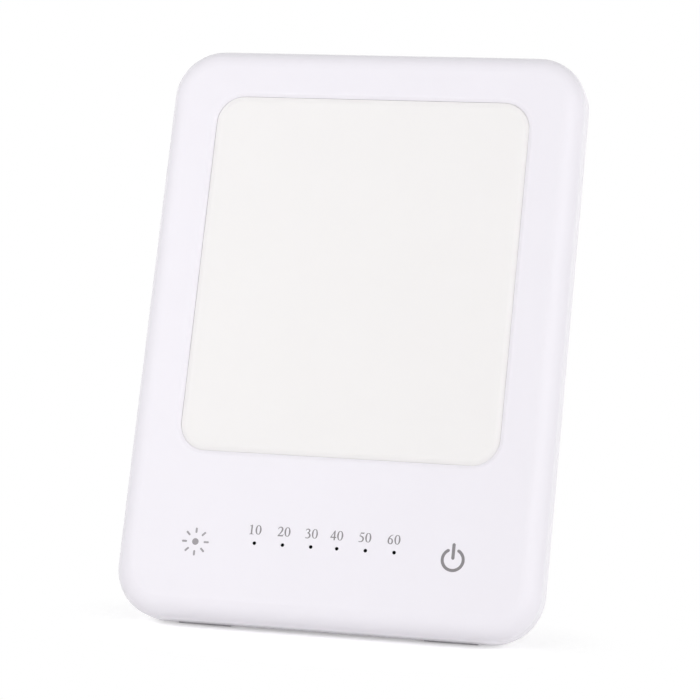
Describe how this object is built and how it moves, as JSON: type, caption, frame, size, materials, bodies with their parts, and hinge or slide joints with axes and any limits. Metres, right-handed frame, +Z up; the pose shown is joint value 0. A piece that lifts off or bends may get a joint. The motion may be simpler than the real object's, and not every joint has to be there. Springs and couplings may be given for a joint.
{
  "type": "light therapy lamp",
  "caption": "Slim tablet-shaped light therapy lamp with an opal window, touch keys, a timer row and a fold-out prop leg.",
  "frame": {"origin": "centre of the lamp's box, on the surface that it stands on", "axes": "+Z up; -Y is the side that the window faces, leaning back towards +Y; +X to the right as seen from the front"},
  "size_m": [0.175, 0.1088, 0.2241],
  "materials": {
    "casing_front": "satin white",
    "casing_rear": "fine matte white",
    "leg_white": "fine matte white",
    "opal_panel": "opal, fine matte",
    "foam_white": "closed-cell foam",
    "clear_acrylic": "polished edge",
    "reflector_white": "matte white film",
    "tray_aluminium": "mill finish",
    "strip_board": "white solder mask",
    "led_phosphor": "phosphor yellow",
    "board_green": "green solder mask",
    "smoked_pipe": "smoked, glossy tips",
    "spring_steel": "bright wire",
    "black_package": "moulded epoxy",
    "ferrite": "ferrite grey",
    "capacitor_can": "drawn can",
    "connector_nylon": "natural nylon",
    "lead_red": "red insulation",
    "jack_black": "moulded black",
    "pin_brass": "plated",
    "screw_black": "black oxide",
    "screw_zinc": "zinc plated",
    "washer_nylon": "nylon",
    "pin_steel": "ground",
    "rubber_grey": "soft light grey"
  },
  "bodies": {
    "lamp_body": {"front_bezel": "casing_front", "rear_cover": "casing_rear", "base_feet": "rubber_grey", "diffuser_seal": "foam_white", "diffuser_panel": "opal_panel", "light_guide_plate": "clear_acrylic", "reflector_sheet": "reflector_white", "light_tray": "tray_aluminium", "led_strip_right": "strip_board", "led_strip_left": "strip_board", "led_chips_right": "led_phosphor", "led_chips_left": "led_phosphor", "main_board": "board_green", "indicator_leds": "led_phosphor", "indicator_lens_strip": "smoked_pipe", "brightness_touch_spring": "spring_steel", "power_touch_spring": "spring_steel", "driver_chip": "black_package", "driver_inductor": "ferrite", "filter_capacitors": "capacitor_can", "led_connectors": "connector_nylon", "led_lead_right": "lead_red", "led_lead_left": "lead_red", "dc_jack_housing": "jack_black", "dc_jack_pin": "pin_brass", "case_screws": "screw_black", "tray_screws": "screw_zinc", "board_screws": "screw_zinc", "hinge_cap_screws": "screw_zinc", "hinge_caps": "casing_rear", "hinge_washers": "washer_nylon"},
    "stand": {"stand_leg": "leg_white", "hinge_pin": "pin_steel", "stand_foot_pad": "rubber_grey"}
  },
  "joints": [
    {"name": "stand_hinge", "type": "hinge", "parent": "lamp_body", "child": "stand", "pos_m": [0, 0.01564, 0.13857], "axis": [1, 0, 0], "range_deg": [-32, 0]}
  ]
}
